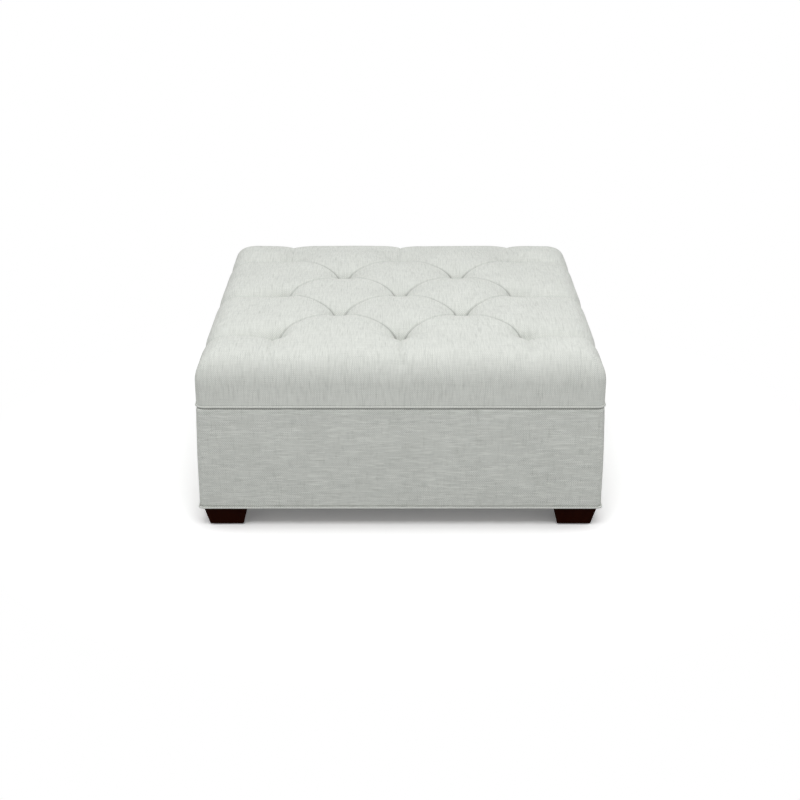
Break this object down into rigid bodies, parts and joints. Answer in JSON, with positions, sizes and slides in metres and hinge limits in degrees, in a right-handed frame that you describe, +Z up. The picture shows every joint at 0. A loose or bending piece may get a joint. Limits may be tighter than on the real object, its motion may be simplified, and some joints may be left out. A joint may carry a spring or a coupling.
{
  "type": "tufted storage ottoman coffee table",
  "caption": "Square upholstered coffee-table ottoman with a deep-tufted, hinged storage lid on gas stays, welted seams and short tapered wooden feet.",
  "frame": {"origin": "on the floor, under the middle of the square base", "axes": "+Z up, the front faces -Y, +X to the right as seen from the front; the lid is hinged along the back (+Y)"},
  "size_m": [1.0126, 1.0141, 0.477],
  "materials": {
    "cover_fabric": "plain heathered weave, pale cool grey",
    "welt_fabric": "the cover's fabric cut on the bias over a cord",
    "lining_fabric": "black plain-weave lining cloth",
    "dust_cloth": "matt black non-woven cloth",
    "batting": "white polyester batting over thin foam",
    "foam": "upholstery foam",
    "twine": "waxed tufting twine",
    "plywood": "unfinished plywood",
    "softwood": "unfinished planed wood",
    "foot_wood": "dark espresso stain, satin",
    "zinc_steel": "zinc-plated steel",
    "polished_steel": "hard-chromed rod with black end fittings",
    "black_steel": "black powder coat",
    "glide_plastic": "moulded nylon",
    "bumper_rubber": "moulded rubber"
  },
  "bodies": {
    "base": {"front_panel": "plywood", "back_panel": "plywood", "left_panel": "plywood", "right_panel": "plywood", "foot_blocks": "softwood", "floor_cleats": "softwood", "floor_panel": "plywood", "corner_posts": "softwood", "box_padding": "batting", "box_cover": "cover_fabric", "box_welt": "welt_fabric", "box_lining": "lining_fabric", "dust_cover": "dust_cloth", "foot_front_left": "foot_wood", "foot_front_right": "foot_wood", "foot_back_left": "foot_wood", "foot_back_right": "foot_wood", "foot_bolts": "zinc_steel", "foot_glides": "glide_plastic", "hinge_base_leaf": "zinc_steel", "hinge_pin": "zinc_steel", "hinge_base_screws": "zinc_steel", "rim_bumpers": "bumper_rubber", "stay_base_bracket_left": "zinc_steel", "stay_base_bracket_right": "zinc_steel"},
    "lid": {"lid_deck": "plywood", "lid_foam": "foam", "lid_cover": "cover_fabric", "lid_welt": "welt_fabric", "lid_liner": "lining_fabric", "tuft_buttons": "cover_fabric", "tuft_twine": "twine", "tuft_anchors": "glide_plastic", "hinge_lid_leaf": "zinc_steel", "hinge_lid_screws": "zinc_steel", "stay_lid_bracket_left": "zinc_steel", "stay_lid_bracket_right": "zinc_steel"},
    "stay_tube_left": {"stay_tube_left": "black_steel"},
    "stay_rod_left": {"stay_rod_left": "polished_steel"},
    "stay_tube_right": {"stay_tube_right": "black_steel"},
    "stay_rod_right": {"stay_rod_right": "polished_steel"}
  },
  "joints": [
    {"name": "lid_hinge", "type": "hinge", "parent": "base", "child": "lid", "pos_m": [0, 0.50555, 0.3265], "axis": [-1, 0, 0], "range_deg": [0, 80]},
    {"name": "stay_swing_left", "type": "hinge", "parent": "base", "child": "stay_tube_left", "pos_m": [-0.4545, 0.46055, 0.2465], "axis": [-1, 0, 0], "range_deg": [0, 72.41]},
    {"name": "stay_slide_left", "type": "slide", "parent": "stay_tube_left", "child": "stay_rod_left", "axis": [0, -0.9699, 0.2434], "range_m": [0, 0.11047]},
    {"name": "stay_swing_right", "type": "hinge", "parent": "base", "child": "stay_tube_right", "pos_m": [0.4545, 0.46055, 0.2465], "axis": [-1, 0, 0], "range_deg": [0, 72.41]},
    {"name": "stay_slide_right", "type": "slide", "parent": "stay_tube_right", "child": "stay_rod_right", "axis": [0, -0.9699, 0.2434], "range_m": [0, 0.11047]}
  ],
  "couplings": [
    {"joint": "stay_swing_left", "follows": "lid_hinge", "ratio": 0.90502},
    {"joint": "stay_slide_left", "follows": "lid_hinge", "m_per_rad": 0.079108},
    {"joint": "stay_swing_right", "follows": "lid_hinge", "ratio": 0.90502},
    {"joint": "stay_slide_right", "follows": "lid_hinge", "m_per_rad": 0.079108}
  ]
}
